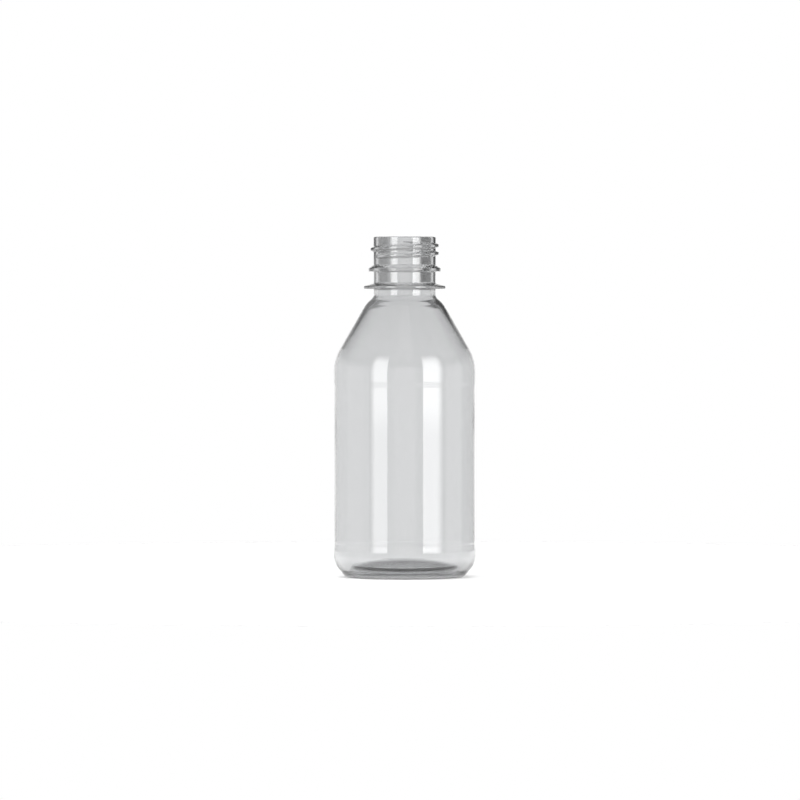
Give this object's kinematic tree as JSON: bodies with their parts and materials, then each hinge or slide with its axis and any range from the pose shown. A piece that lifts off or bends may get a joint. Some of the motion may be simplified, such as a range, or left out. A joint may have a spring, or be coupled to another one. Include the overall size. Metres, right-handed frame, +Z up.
{
  "type": "pet medicine bottle",
  "caption": "Round clear plastic medicine bottle, open at the top, with a screw-threaded neck, a support ring, a sloping shoulder, a straight label panel and a domed push-up base.",
  "frame": {"origin": "on the bottle's axis, in the plane that the foot ring stands on", "axes": "+Z up along the bottle's axis towards the mouth; X and Y are equal, and the thread starts near 200 degrees from +X towards +Y"},
  "size_m": [0.057, 0.057, 0.1375],
  "materials": {
    "clear_pet": "clear gloss"
  },
  "bodies": {
    "root": {"bottle": "clear_pet"}
  },
  "joints": []
}
